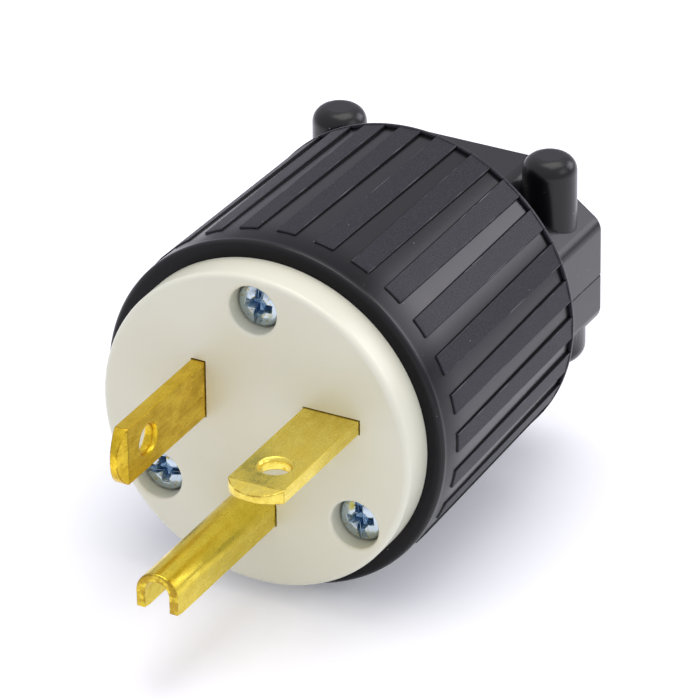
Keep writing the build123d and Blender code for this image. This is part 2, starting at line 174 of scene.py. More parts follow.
def place_piece(piece, material, slot, *nodes):
    """Gives a piece its finish and sets it on the body in place of CAD nodes."""
    piece.data.materials.clear()
    piece.data.materials.append(material)
    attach(piece, "root")
    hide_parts(*nodes)


def detent_tool(spot):
    """Round hole with a chamfer at both mouths, through a blade that lies flat."""
    bpy.ops.mesh.primitive_cylinder_add(
        vertices=64, radius=detent_radius, depth=blade_thickness - 2 * detent_chamfer, location=spot
    )
    tool = start_piece("detent_tool")
    for side in (-1, 1):
        pick("FACE", lambda middle: near(middle.z, side * (blade_thickness / 2 - detent_chamfer)))
        pull(0, 0, side * 2 * detent_chamfer)
        widen = 1 + 2 * detent_chamfer / detent_radius
        bpy.ops.transform.resize(value=(widen, widen, 1), center_override=spot)
    bpy.ops.object.mode_set(mode="OBJECT")
    return tool


def make_blade(name, jog):
    """Blade drawn flat: X across the strip, Y back along the plug, Z towards the wiring side."""
    half = blade_width / 2
    corner_y = nose_length - blade_reach
    nose_radius = (half ** 2 + nose_length ** 2) / (2 * nose_length)
    bpy.ops.mesh.primitive_circle_add(
        vertices=120, radius=nose_radius, fill_type="NGON", location=(0, nose_radius - blade_reach, 0)
    )
    blade = start_piece(name)
    slice_off((0, corner_y, 0), (0, 1, 0), fill=False)
    pick("EDGE", lambda middle: near(middle.y, corner_y))
    shoulder_y = face_back - shoulder_length
    pull(0, shoulder_y - corner_y, 0)
    pull(0, shoulder_length, 0)
    pull(0, blade_thickness / 2, 0)
    pull(0, 0, jog)
    pull(0, blade_end - face_back - blade_thickness / 2, 0)
    for side in (-1, 1):
        pick("EDGE", lambda middle: near(middle.x, side * half)
             and near(middle.y, face_back - shoulder_length / 2))
        pull(side * shoulder_step, 0, 0)
    settle(blade, "gauge", "SOLIDIFY", thickness=blade_thickness, offset=0, use_even_offset=True)
    bpy.ops.object.mode_set(mode="EDIT")
    bpy.ops.mesh.select_all(action="SELECT")
    bpy.ops.mesh.normals_make_consistent(inside=False)
    slope = (blade_thickness - nose_thickness) / 2 / nose_length
    for side in (-1, 1):
        slice_off((0, -blade_reach, side * nose_thickness / 2), (0, -slope, side))
    bpy.ops.object.mode_set(mode="OBJECT")
    combine(blade, "DIFFERENCE", detent_tool((0, detent_from_nose - blade_reach, 0)))
    bpy.ops.mesh.primitive_cylinder_add(
        vertices=48, radius=tail_hole_radius, depth=2 * blade_thickness,
        location=(0, blade_end - tail_hole_from_end, jog)
    )
    combine(blade, "DIFFERENCE", start_piece("tail_hole_tool"))
    break_edges(blade, blade_edge_break, sharper_than=10)
    close_seams()
    smooth_shading(blade)
    return blade


hot_jog = hot_high.x - hot_low.x - blade_thickness
hot_blade = make_blade("hot_brass_blade", hot_jog)
hot_lie = Matrix(((0, 0, -1), (0, 1, 0), (1, 0, 0))).to_4x4()
hot_lie.translation = (hot_high.x - blade_thickness / 2, 0, (hot_low.z + hot_high.z) / 2)
hot_blade.data.transform(hot_lie)
neutral_jog = neutral_high.z - neutral_low.z - blade_thickness
neutral_blade = make_blade("neutral_brass_blade", -neutral_jog)
neutral_middle = ((neutral_low.x + neutral_high.x) / 2, 0, neutral_high.z - blade_thickness / 2)
neutral_blade.data.transform(Matrix.Translation(neutral_middle))


class Shade:
    """A shader socket that takes part in sums: each operation on it adds one Math node."""

    def __init__(self, tree, socket=None):
        self.tree = tree
        self.socket = socket

    def feed(self, node, sockets):
        """Gives a node's sockets their links, numbers or colours."""
        for key, value in sockets.items():
            if isinstance(value, Shade):
                self.tree.links.new(value.socket, node.inputs[key])
            else:
                node.inputs[key].default_value = value

    def node(self, kind, sockets, out=0, **settings):
        """Adds a node, sets it up, feeds its sockets and returns one of its outputs."""
        made = self.tree.nodes.new(kind)
        for setting, value in settings.items():
            setattr(made, setting, value)
        self.feed(made, sockets)
        return Shade(self.tree, made.outputs[out])

    def math(self, operation, first, second=0.0):
        """Adds one Math node."""
        return self.node("ShaderNodeMath", {0: first, 1: second}, operation=operation)

    def __add__(self, other):
        return self.math("ADD", self, other)

    def __sub__(self, other):
        return self.math("SUBTRACT", self, other)

    def __rsub__(self, other):
        return self.math("SUBTRACT", other, self)

    def __mul__(self, other):
        return self.math("MULTIPLY", self, other)

    def __pow__(self, other):
        return self.math("POWER", self, other)

    def __abs__(self):
        return self.math("ABSOLUTE", self)

    __radd__ = __add__
    __rmul__ = __mul__


def new_finish(name):
    """New material with its shader, and the Object coordinates that its patterns read."""
    material = bpy.data.materials.new(name)
    material.use_nodes = True
    shader = material.node_tree.nodes["Principled BSDF"]
    place = Shade(material.node_tree).node("ShaderNodeTexCoord", {}, "Object")
    return material, shader, place


def stretched(place, scale):
    """Coordinates drawn out along the axes whose scale is small."""
    return place.node("ShaderNodeMapping", {"Vector": place, "Scale": scale})


def clouds(place, size, detail=2.0):
    """Soft noise from 0 to 1 in blotches of about that size."""
    return place.node("ShaderNodeTexNoise", {"Vector": place, "Scale": 1 / size, "Detail": detail}, "Fac")


def step_up(value, low, high):
    """Smooth rise from 0 at low to 1 at high."""
    sockets = {"Value": value, "From Min": low, "From Max": high}
    return value.node("ShaderNodeMapRange", sockets, interpolation_type="SMOOTHSTEP")


def blend(share, first, second):
    """Colour that goes from first to second as share goes from 0 to 1."""
    return share.node("ShaderNodeMix", {0: share, 6: first, 7: second}, 2, data_type="RGBA")


def raised(height, depth):
    """Normal of a surface that stands up by depth where height is 1."""
    return height.node("ShaderNodeBump", {"Height": height, "Distance": depth}, "Normal")


def specks(place, spacing, share, size):
    """Small round spots in some of the cells of a loose grid, 1 inside a spot."""
    cells = {"Vector": place, "Scale": 1 / spacing}
    middle = place.node("ShaderNodeTexVoronoi", cells, "Distance")
    cell_colour = place.node("ShaderNodeTexVoronoi", cells, "Color")
    luck = place.node("ShaderNodeSeparateColor", {"Color": cell_colour})
    spot = step_up(0 - middle, -size / spacing, -0.4 * size / spacing)
    return spot * step_up(luck, 1 - share, 1 - 0.9 * share)


coined_stain = 0.22
brown_stain = (0.30, 0.16, 0.02, 1)
dark_spot = (0.12, 0.06, 0.015, 1)


def nose_edges(place):
    """1 on the broken edges round a blade's nose, and a fifth of that on the coined nose itself."""
    y = place.node("ShaderNodeSeparateXYZ", {"Vector": place}, "Y")
    edge = place.node("ShaderNodeAttribute", {}, "Fac", attribute_name="edge")
    nose = step_up(0 - y, blade_reach - 1.3 * nose_length, blade_reach - 0.8 * nose_length)
    return (coined_stain + (1 - coined_stain) * edge) * nose


def nowhere(place):
    """0 all over."""
    return 0 * clouds(place, 1 * mm)


def brass_finish(name, clean, dull, draw, edge_mask):
    """Satin brass with tarnish in patches, fine lines drawn along the strip and browned edges."""
    material, shader, place = new_finish(name)
    lines = clouds(stretched(place, draw), 0.25 * mm, detail=4)
    patches = clouds(stretched(place, (1, 0.6, 1)), 1.3 * mm, detail=8)
    mottle = clouds(place, 0.22 * mm, detail=3)
    tarnish = step_up(0.54 * patches + 0.24 * lines + 0.22 * mottle, 0.36, 0.68)
    spots = specks(place, spacing=1.7 * mm, share=0.12, size=0.11 * mm)
    browned = edge_mask(place) * step_up(clouds(place, 0.7 * mm, detail=4), 0.3, 0.6)
    colour = blend(0.75 * browned, blend(tarnish, clean, dull), brown_stain)
    shader_sockets = {
        "Base Color": blend(0.7 * spots, colour, dark_spot),
        "Roughness": 0.2 + 0.2 * tarnish,
        "Metallic": 1.0,
        "Normal": raised(lines + 0.2 * mottle, 0.0018 * mm),
    }
    place.feed(shader, shader_sockets)
    return material


brass_clean = (0.92, 0.76, 0.16, 1)
brass_dull = (0.74, 0.57, 0.08, 1)
golden_clean = (0.86, 0.61, 0.045, 1)
golden_dull = (0.57, 0.37, 0.014, 1)
along_strip = (1, 0.05, 1)
golden_brass = brass_finish("golden_brass", golden_clean, golden_dull, along_strip, nose_edges)
blade_brass = brass_finish("drawn_brass", brass_clean, brass_dull, along_strip, nose_edges)
place_piece(hot_blade, golden_brass, "brass", "hot_blade")
place_piece(neutral_blade, blade_brass, "brass", "neutral_blade")


# Ground prong. Thinner brass sheet folded to a U, the longest contact, with a flat strap for its terminal.
# The fold has drawn the sheet smooth along the crown; the cut end is rounded and stained, with a lead-in.
prong_low, prong_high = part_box("ground_prong")
prong_wall = 0.95 * mm
prong_radius = 2.35 * mm
prong_nose_round = 0.25 * mm
lead_in_length = 1.2 * mm
lead_in_rise = 0.2 * mm
strap_lead = 0.9 * mm
prong_edge_break = 0.06 * mm
prong_clean = (0.87, 0.69, 0.085, 1)
prong_dull = (0.70, 0.53, 0.045, 1)
along_fold = (1, 0.04, 1)

prong_axis_z = prong_high.z - prong_radius
bpy.ops.mesh.primitive_cylinder_add(
    vertices=96, radius=prong_radius, depth=face_back - prong_low.y, end_fill_type="NOTHING",
    location=(0, (face_back + prong_low.y) / 2, prong_axis_z), rotation=(math.pi / 2, 0, 0)
)
prong = start_piece("folded_ground_prong")
slice_off((0, 0, prong_axis_z), (0, 0, -1), fill=False)
pick("EDGE", lambda middle: near(middle.z, prong_axis_z) and near(abs(middle.x), prong_radius))
pull(0, 0, prong_low.z - prong_axis_z)
settle(prong, "gauge", "SOLIDIFY", thickness=prong_wall, offset=-1, use_even_offset=True)
bpy.ops.object.mode_set(mode="EDIT")
bpy.ops.mesh.select_all(action="SELECT")
bpy.ops.mesh.normals_make_consistent(inside=False)
slice_off((0, prong_low.y, prong_low.z + lead_in_rise), (0, -lead_in_rise / lead_in_length, -1))
pick("EDGE", lambda middle: near(middle.y, prong_low.y))
bpy.ops.mesh.region_to_loop()
bpy.ops.mesh.bevel(offset=prong_nose_round, segments=4, affect="EDGES")
bpy.ops.object.mode_set(mode="OBJECT")
strap_front = face_back - strap_lead
bpy.ops.mesh.primitive_cube_add(
    size=1, location=(0, (strap_front + prong_high.y) / 2, prong_high.z - prong_wall / 2),
    scale=(prong_high.x - prong_low.x, prong_high.y - strap_front, prong_wall)
)
combine(prong, "UNION", start_piece("strap_tool"))
bpy.ops.mesh.primitive_cylinder_add(
    vertices=48, radius=tail_hole_radius, depth=4 * prong_wall,
    location=(0, prong_high.y - tail_hole_from_end, prong_high.z)
)
combine(prong, "DIFFERENCE", start_piece("strap_hole_tool"))
break_edges(prong, prong_edge_break, sharper_than=40)
smooth_shading(prong)


def folded_end(place):
    """1 on the prong's cut end and the rounded rims behind it."""
    y = place.node("ShaderNodeSeparateXYZ", {"Vector": place}, "Y")
    return step_up(0 - y, -prong_low.y - 1.5 * prong_nose_round, -prong_low.y - prong_nose_round)


prong_brass = brass_finish("folded_brass", prong_clean, prong_dull, along_fold, folded_end)
place_piece(prong, prong_brass, "brass", "ground_prong")


# Terminals. A square plate with clipped corners lies on each tail, under the head of a terminal screw.
# Brass on the hot side, plain zinc on the neutral, and a green screw on a zinc plate on the ground.
shank_radius = 1.75 * mm
thread_pitch = 1.0 * mm
thread_steps = 24
thread_overlap = 0.3 * mm
spare_turns = 3
terminal_head_radius = 3.2 * mm
terminal_head_height = 2.0 * mm
plate_thickness = 1.0 * mm
drive_width = 0.85 * mm
cross_width = 1.5 * mm
drive_span = 5.2 * mm
slot_depth = 0.7 * mm
cross_depth = 1.3 * mm
cross_taper = 0.42
cross_middle_radius = 1.05 * mm
cross_floor_radius = 0.3 * mm
crown_rise = 0.3 * mm
crown_round = 0.55 * mm
crown_steps = (0.36, 0.28, 0.2, 0.12, 0.04)
drive_edge_break = 0.05 * mm


def thread_tool(length):
    """Threaded shank that hangs from just above z = 0: a V tooth wound round the axis and cut square."""
    bpy.ops.mesh.primitive_circle_add(
        vertices=4, radius=thread_pitch / 2, location=(shank_radius - thread_pitch / 2, 0, 0),
        rotation=(math.pi / 2, 0, 0)
    )
    thread = start_piece("thread_tool")
    pick("VERT", lambda spot: spot.x < shank_radius - 0.6 * thread_pitch)
    bpy.ops.mesh.delete(type="VERT")
    bpy.ops.mesh.select_all(action="SELECT")
    bpy.ops.transform.translate(value=(0, 0, thread_pitch))
    settle(thread, "helix", "SCREW", axis="Z", screw_offset=-thread_pitch, steps=thread_steps,
           render_steps=thread_steps, iterations=int(length / thread_pitch) + spare_turns,
           use_merge_vertices=False)
    bpy.ops.object.mode_set(mode="EDIT")
    bpy.ops.mesh.select_all(action="SELECT")
    bpy.ops.mesh.remove_doubles(threshold=weld)
    slice_off((0, 0, thread_overlap), (0, 0, 1))
    slice_off((0, 0, -length), (0, 0, -1))
    bpy.ops.mesh.select_all(action="SELECT")
    bpy.ops.mesh.normals_make_consistent(inside=False)
    bpy.ops.object.mode_set(mode="OBJECT")
    return thread


def drive_tool(length, width, top, depth, taper, turn):
    """Bar that sinks a slot or one arm of the cross, narrowing towards its floor."""
    bpy.ops.mesh.primitive_cube_add(
        size=1, location=(0, 0, top + depth / 2), scale=(length, width, 3 * depth), rotation=(0, 0, turn)
    )
    tool = start_piece("drive_tool")
    pick("FACE", lambda middle: near(middle.z, top - depth))
    bpy.ops.transform.resize(value=(taper, taper, 1), center_override=(0, 0, top - depth))
    bpy.ops.object.mode_set(mode="OBJECT")
    return tool


def cross_middle_tool(top):
    """Cone that opens the middle of the cross."""
    flare = (cross_middle_radius - cross_floor_radius) / cross_depth
    bpy.ops.mesh.primitive_cone_add(
        vertices=20, radius1=cross_floor_radius, radius2=cross_middle_radius + flare * cross_depth,
        depth=2 * cross_depth, location=(0, 0, top)
    )
    tool = start_piece("cross_middle_tool")
    bpy.ops.object.mode_set(mode="OBJECT")
    return tool


def make_screw(name, head_radius, head_height, length, turn):
    """Pan-head screw drawn upright, seat at z = 0; the attribute sunk is 1 inside its drive."""
    wall = head_height - crown_rise
    bpy.ops.mesh.primitive_cylinder_add(
        vertices=72, radius=head_radius, depth=wall, location=(0, 0, wall / 2)
    )
    screw = start_piece(name)
    pick("EDGE", lambda middle: near(middle.z, wall))
    bpy.ops.mesh.bevel(offset=crown_round, segments=6, affect="EDGES")
    pick("FACE", lambda middle: near(middle.z, wall) and near(middle.xy.length, 0))
    crown_ring = (head_radius - crown_round) / (len(crown_steps) + 1)
    for rise in crown_steps:
        bpy.ops.mesh.inset(thickness=crown_ring, depth=rise * crown_rise)
    bpy.ops.object.mode_set(mode="OBJECT")
    slot = drive_tool(2.5 * head_radius, drive_width, head_height, slot_depth, 1, turn)
    combine(screw, "DIFFERENCE", slot)
    for arm in (0, math.pi / 2):
        cross_arm = drive_tool(drive_span, cross_width, head_height, cross_depth, cross_taper, turn + arm)
        combine(screw, "DIFFERENCE", cross_arm)
    combine(screw, "DIFFERENCE", cross_middle_tool(head_height))
    break_edges(screw, drive_edge_break, sharper_than=35)
    smooth_shading(screw)
    combine(screw, "UNION", thread_tool(length))
    bpy.ops.object.shade_smooth_by_angle(angle=smooth_below)
    sunk = screw.data.attributes.new("sunk", "FLOAT", "POINT")
    for vertex in screw.data.vertices:
        inside = 0.1 * head_height < vertex.co.z and vertex.co.xy.length < 0.99 * head_radius
        crown = wall + crown_rise - (crown_rise + crown_round) * (vertex.co.xy.length / head_radius) ** 3
        sunk.data[vertex.index].value = 1.0 if inside and vertex.co.z < crown - 0.3 * slot_depth else 0.0
    return screw


def stand_at(piece, seat, outward, across):
    """Moves a piece drawn upright so that its seat, axis and X lie where a fastener sits."""
    side = outward.cross(across)
    lie = Matrix((across, side, outward)).transposed().to_4x4()
    lie.translation = seat
    piece.data.transform(lie)


def plated_finish(name, bright, tint, drive_shade, rough):
    """Zinc plate over metal, with a thin tinted bloom in patches and a darker colour in the drive that is
    painted shade.
    """
    material, shader, place = new_finish(name)
    bloom = step_up(clouds(place, 0.32 * mm), 0.6, 0.68)
    wear = clouds(place, 0.12 * mm)
    ripple = clouds(place, 0.35 * mm, detail=1)
    recess = place.node("ShaderNodeAttribute", {}, "Fac", attribute_name="sunk")
    shader_sockets = {
        # Painted shade: the colour darkens inside the drive's recess.
        "Base Color": blend(recess * (0.75 + 0.25 * wear), blend(bloom, bright, tint), drive_shade),
        "Roughness": rough + 0.12 * wear,
        "Metallic": 1.0,
        "Normal": raised(0.15 * wear + recess * ripple, 0.02 * mm),
    }
    place.feed(shader, shader_sockets)
    return material


# In each plated finish the drive's darker colour is painted shade.
plate_zinc = plated_finish(
    "plain_zinc", bright=(0.60, 0.61, 0.64, 1), tint=(0.52, 0.53, 0.55, 1),
    drive_shade=(0.30, 0.32, 0.36, 1), rough=0.3
)
green_zinc = plated_finish(
    "green_zinc", bright=(0.10, 0.36, 0.16, 1), tint=(0.08, 0.27, 0.12, 1),
    drive_shade=(0.04, 0.16, 0.07, 1), rough=0.3
)
across_plate = (0.1, 1, 1)
terminal_brass = brass_finish("plate_brass", brass_clean, brass_dull, across_plate, nowhere)
terminals = {
    "hot": (Vector((-1, 0, 0)), Vector((0, 0, 1)), terminal_brass, "brass", terminal_brass),
    "neutral": (Vector((0, 0, 1)), Vector((1, 0, 0)), plate_zinc, "zinc_steel", plate_zinc),
    "ground": (Vector((0, 0, -1)), Vector((-1, 0, 0)), green_zinc, "green_zinc", plate_zinc),
}
for pole, (outward, across, finish, slot, plate_finish) in terminals.items():
    plate_low, plate_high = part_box(f"{pole}_wire_plate")
    screw_low, screw_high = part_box(f"{pole}_terminal_screw")
    screw_length = abs((screw_high - screw_low).dot(outward)) - terminal_head_height
    screw = make_screw(
        f"{pole}_binding_screw", terminal_head_radius, terminal_head_height, screw_length, turn=0
    )
    stand_at(screw, (plate_low + plate_high) / 2 + outward * plate_thickness / 2, outward, across)
    place_piece(screw, finish, slot, f"{pole}_terminal_screw")
    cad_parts[f"{pole}_wire_plate"].data.materials[0] = plate_finish


# Terminal carrier. Inner block of dark grey nylon that traps the contacts' shoulders behind the face.
# Moulded with a wire well for each terminal and held by the face screws.
def nylon_finish(name, colour, shade, rough, speck_colour, speck_share):
    """Moulded nylon: an even satin skin with faint flow marks and a few stray specks."""
    material, shader, place = new_finish(name)
    flow = clouds(place, 7 * mm, detail=3)
    skin = clouds(place, 0.16 * mm)
    dirt = specks(place, spacing=2.6 * mm, share=speck_share, size=0.1 * mm)
    shader_sockets = {
        "Base Color": blend(0.6 * dirt, blend(flow, colour, shade), speck_colour),
        "Roughness": rough + 0.08 * flow,
        "IOR": 1.53,
        "Coat Weight": 0.4,
        "Coat Roughness": 0.3,
        "Normal": raised(skin, 0.003 * mm),
    }
    place.feed(shader, shader_sockets)
    return material


carrier_nylon = nylon_finish(
    "grey_nylon", colour=(0.05, 0.05, 0.055, 1), shade=(0.038, 0.038, 0.043, 1), rough=0.5,
    speck_colour=(0.2, 0.15, 0.1, 1), speck_share=0.1
)
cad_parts["terminal_carrier"].data.materials[0] = carrier_nylon


# Front face. White nylon disc proud of the body, with wells for the screws and slots for the contacts.
# Moulded with rounded mouths and a rounded rim, with an even satin skin, and held by the face screws.
face_nylon = nylon_finish(
    "white_nylon", colour=(0.79, 0.785, 0.64, 1), shade=(0.76, 0.755, 0.61, 1), rough=0.36,
    speck_colour=(0.25, 0.16, 0.08, 1), speck_share=0.08
)
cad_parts["front_face"].data.materials[0] = face_nylon


# Housing. Black nylon shell moulded in one with its grip ribs, rear rim and the upper half of the cord clamp.
# The tool was spark-finished on the ribs' tops, so they are matt and grained, and polished between them.
housing_low, housing_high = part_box("housing")
ring_y = housing_low.y
clamp_rear = housing_high.y
ring_step = 0.15 * mm
ring_step_radius = 18.6 * mm
bore_front_radius = 17.0 * mm
bore_rear_radius = 16.2 * mm
body_front_radius = 19.46 * mm
body_rear_radius = 18.54 * mm
band_y = ring_y + ring_step
rear_y = ring_y + 30.8 * mm
rear_wall = 2.6 * mm
rim_radius = 18.92 * mm
rim_y = rear_y - 0.5 * mm
cord_radius = 8.0 * mm
body_slope = (body_front_radius - body_rear_radius) / (rim_y - band_y)
rib_count = 28
rib_front_y = ring_y + 3.2 * mm
rib_rear_y = rear_y - 0.25 * mm
rib_root = 1.15 * mm
rib_widths = (2.2 * mm, 2.5 * mm)
rib_heights = (0.17 * mm, 0.3 * mm)
rib_edge_break = 0.08 * mm
rib_end_chamfer = 0.14 * mm
ring_edge_round = 0.3 * mm
band_edge_round = 0.4 * mm
rim_front_round = 0.05 * mm
rim_rear_round = 0.18 * mm
ring_shine = 0.09
ring_edge_shine = 0.4
groove_shine = 0.47
# Grey for the ribs' top edges: part scuffing, part painted highlight.
scuff_and_highlight_grey = (0.16, 0.155, 0.165, 1)
# Near-black painted shade for the crease at each rib's foot.
crease_shade_black = (0.001, 0.001, 0.001, 1)
dust_grey = (0.4, 0.38, 0.38, 1)


def black_finish(name, grain_mask, gloss_mask, edge_masks):
    """Black nylon, grained and shiny where the masks say, with painted shade in the creases, lighter edges
    that are part scuffing and part painted highlight, and dust.
    """
    material, shader, place = new_finish(name)
    flow = clouds(place, 6 * mm, detail=3)
    grain = clouds(place, 0.16 * mm)
    dust = specks(place, spacing=1.1 * mm, share=0.16, size=0.09 * mm)
    grained = grain_mask(place)
    crease_shade, scuff_and_highlight = edge_masks(place)
    smooth_black = blend(flow, (0.003, 0.0028, 0.0038, 1), (0.005, 0.0046, 0.0065, 1))
    grained_black = blend(step_up(grain, 0.35, 0.7), (0.019, 0.0185, 0.0235, 1), (0.037, 0.036, 0.045, 1))
    # The ribs' top edges turn lighter: part scuffing, part painted highlight.
    colour = blend(scuff_and_highlight, blend(grained, smooth_black, grained_black), scuff_and_highlight_grey)
    # Painted shade darkens the creases at the ribs' feet.
    colour = blend(crease_shade, colour, crease_shade_black)
    shader_sockets = {
        "Base Color": blend(0.6 * dust, colour, dust_grey),
        "Roughness": 0.26 + 0.24 * grained + 0.08 * flow + 0.3 * crease_shade,
        "IOR": 1.22,
        "Coat Weight": gloss_mask(place) * (1 - 0.75 * grained) * (1 - crease_shade),
        "Coat Roughness": 0.26,
        "Coat IOR": 1.5,
        "Normal": raised(grain * (0.15 + grained), 0.02 * mm),
    }
    place.feed(shader, shader_sockets)
    return material


def on_rib_tops(place):
    """1 on the ribs' tops and 0 between them, from the height above the tapered body's surface."""
    x, y, z = (place.node("ShaderNodeSeparateXYZ", {"Vector": place}, axis) for axis in "XYZ")
    radius = (x * x + z * z) ** 0.5
    height = radius - body_front_radius + (y - band_y) * body_slope
    return step_up(height, 0.07 * mm, 0.13 * mm) * step_up(0 - y, -rear_y, -rim_y)


def behind_the_ring(place):
    """Shine that is low on the front ring, high on its rounded edge and rising over the band behind it."""
    y = place.node("ShaderNodeSeparateXYZ", {"Vector": place}, "Y")
    edge = step_up(y, ring_y + 0.02 * mm, band_y) * step_up(0 - y, -band_y - 0.9 * mm, -band_y - 0.3 * mm)
    grooves = step_up(y, band_y + 0.5 * mm, rib_front_y + 3 * mm)
    return ring_shine + ring_edge_shine * edge + groove_shine * grooves


def along_the_ribs(place):
    """Painted shade as a dark line at the foot of each rib's sides, and a patchy light line along its top
    edges that is part scuffing and part painted highlight.
    """
    x, y, z = (place.node("ShaderNodeSeparateXYZ", {"Vector": place}, axis) for axis in "XYZ")
    radius = (x * x + z * z) ** 0.5
    turn = place.math("ARCTAN2", z, x) * (rib_count / (2 * math.pi))
    offset = abs(turn - place.math("ROUND", turn)) * radius * (2 * math.pi / rib_count)
    widening = (rib_widths[1] - rib_widths[0]) / 2 / (rib_rear_y - rib_front_y)
    past_edge = offset - rib_widths[0] / 2 - (y - rib_front_y) * widening
    on_ribs = step_up(y, rib_front_y - 0.05 * mm, rib_front_y) * step_up(0 - y, -rear_y, -rim_y)
    on_ribs = on_ribs * step_up(radius, body_rear_radius - 0.5 * mm, body_rear_radius - 0.2 * mm)
    # Painted shade: a dark line in the crease at each rib's foot.
    crease_shade = step_up(past_edge, -0.02 * mm, 0.01 * mm) * step_up(0 - past_edge, -0.1 * mm, -0.06 * mm)
    patchy_line = step_up(clouds(stretched(place, (1, 0.15, 1)), 0.6 * mm, detail=4), 0.5, 0.72)
    # Patchy light line along each rib's top edges: part scuffing, part painted highlight.
    scuff_and_highlight = step_up(past_edge, -0.12 * mm, -0.09 * mm) * step_up(0 - past_edge, 0.02 * mm, 0.05 * mm)
    return 0.9 * (crease_shade * on_ribs), scuff_and_highlight * patchy_line * on_ribs


def all_over(place):
    """An even shine."""
    return 0.5 + 0.1 * clouds(place, 3 * mm)


def plain_edges(place):
    """Neither painted crease shade nor lighter edges of scuffing and painted highlight."""
    return nowhere(place), nowhere(place)


def floor_radius(y):
    """Radius of the tapered body between the ribs."""
    return body_front_radius - (y - band_y) * body_slope


def scale_ring(share, y):
    """Scales what is selected about the plug's axis."""
    bpy.ops.transform.resize(value=(share, 1, share), center_override=(0, y, 0))


def round_ring(radius, y, width, steps):
    """Rounds the ring of edges at that radius and station."""
    pick("EDGE", lambda middle: near(middle.y, y) and near(math.hypot(middle.x, middle.z), radius))
    bpy.ops.mesh.bevel(offset=width, segments=steps, affect="EDGES")


def make_shell(name):
    """Tapered shell: a cone with the raised ring and the bore at its front and the raised rim at its rear."""
    bpy.ops.mesh.primitive_cone_add(
        vertices=8 * rib_count, radius1=body_front_radius, radius2=body_rear_radius, depth=rim_y - band_y,
        location=(0, (band_y + rim_y) / 2, 0), rotation=(-math.pi / 2, 0, 0)
    )
    shell = start_piece(name)
    pick("FACE", lambda middle: near(middle.y, band_y))
    bpy.ops.mesh.inset(thickness=body_front_radius - ring_step_radius, depth=ring_step)
    bpy.ops.mesh.inset(thickness=ring_step_radius - bore_front_radius)
    pull(0, rear_y - rear_wall - ring_y, 0)
    scale_ring(bore_rear_radius / bore_front_radius, rear_y - rear_wall)
    bpy.ops.mesh.inset(thickness=bore_rear_radius - cord_radius)
    bpy.ops.mesh.delete(type="FACE")
    pick("FACE", lambda middle: near(middle.y, rim_y))
    pull(0, 0, 0)
    scale_ring(rim_radius / body_rear_radius, rim_y)
    pull(0, rear_y - rim_y, 0)
    bpy.ops.mesh.inset(thickness=rim_radius - cord_radius)
    bpy.ops.mesh.delete(type="FACE")
    wall_front_y = rear_y - 1.1 * rear_wall
    hole_edge = 1.01 * cord_radius
    pick("EDGE", lambda middle: middle.y > wall_front_y and math.hypot(middle.x, middle.z) < hole_edge)
    bpy.ops.mesh.bridge_edge_loops()
    round_ring(body_front_radius, band_y, band_edge_round, steps=5)
    round_ring(ring_step_radius, ring_y, ring_edge_round, steps=3)
    round_ring(rim_radius, rim_y, rim_front_round, steps=2)
    round_ring(rim_radius, rear_y, rim_rear_round, steps=3)
    bpy.ops.mesh.select_all(action="SELECT")
    bpy.ops.mesh.normals_make_consistent(inside=False)
    bpy.ops.object.mode_set(mode="OBJECT")
    return shell


def copy_of(piece, name):
    """Copy of a piece, with a mesh of its own."""
    copy = piece.copy()
    copy.data = piece.data.copy()
    copy.name = copy.data.name = name
    bpy.context.collection.objects.link(copy)
    return copy


def make_ribs():
    """All the grip ribs: one tapered bar at the top with broken edges, copied round the body."""
    front_z = floor_radius(rib_front_y) - rib_root
    rear_z = floor_radius(rib_rear_y) - rib_root
    front_depth, rear_depth = (rib_root + height for height in rib_heights)
    bpy.ops.mesh.primitive_cube_add(
        size=1, location=(0, (rib_front_y + rib_rear_y) / 2, front_z + front_depth / 2),
        scale=(rib_widths[0], rib_rear_y - rib_front_y, front_depth)
    )
    rib = start_piece("ribs_tool")
    pick("FACE", lambda middle: near(middle.y, rib_rear_y))
    bpy.ops.transform.resize(
        value=(rib_widths[1] / rib_widths[0], 1, rear_depth / front_depth),
        center_override=(0, rib_rear_y, front_z)
    )
    bpy.ops.transform.translate(value=(0, 0, rear_z - front_z))
    pick("EDGE", lambda middle: near(middle.y, rib_front_y) and near(middle.z, front_z + front_depth))
    bpy.ops.mesh.bevel(offset=rib_end_chamfer, segments=2, affect="EDGES")
    settle(
        rib, "edges", "BEVEL", width=rib_edge_break, segments=2, limit_method="ANGLE",
        angle_limit=math.radians(40)
    )
    for k in range(1, rib_count):
        copy = copy_of(rib, f"rib_{k}_tool")
        copy.data.transform(Matrix.Rotation(2 * math.pi * k / rib_count, 4, "Y"))
        copy.select_set(True)
    bpy.ops.object.join()
    return rib


def rod_tool(spot, axis, radius, length, vertices=48):
    """Round bar from a spot along an axis."""
    middle = Vector(spot) + Vector(axis) * length / 2
    turn = Vector(axis).to_track_quat("Z", "Y").to_euler()
    bpy.ops.mesh.primitive_cylinder_add(
        vertices=vertices, radius=radius, depth=length, location=middle, rotation=turn
    )
    tool = start_piece("rod_tool")
    bpy.ops.object.mode_set(mode="OBJECT")
    return tool


# The clamp's upper half is part of the same moulding: a block with sloping shoulders and two blind posts.
clamp_half_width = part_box("cord_clamp_bar")[1].x
clamp_corner_round = 1.8 * mm
clamp_edge_round = 0.4 * mm
parting_edge_break = 0.14 * mm
upper_top = 12.2 * mm
upper_corner = 6.2 * mm
upper_top_half_width = 8.4 * mm
post_x = 12.4 * mm
post_y = clamp_rear - 4.6 * mm
post_radius = 2.9 * mm
post_top = 15.2 * mm
post_round = 1.7 * mm
post_hole_top = 9.3 * mm
screw_hole_radius = 1.9 * mm
ridge_middles = [rear_y + (2.6 + 3.0 * k) * mm for k in range(3)]
ridge_radius = 7.3 * mm
ridge_base = 0.8 * mm
ridge_top = 0.3 * mm
mouth_flare = 0.8 * mm
clearance = 1 * mm


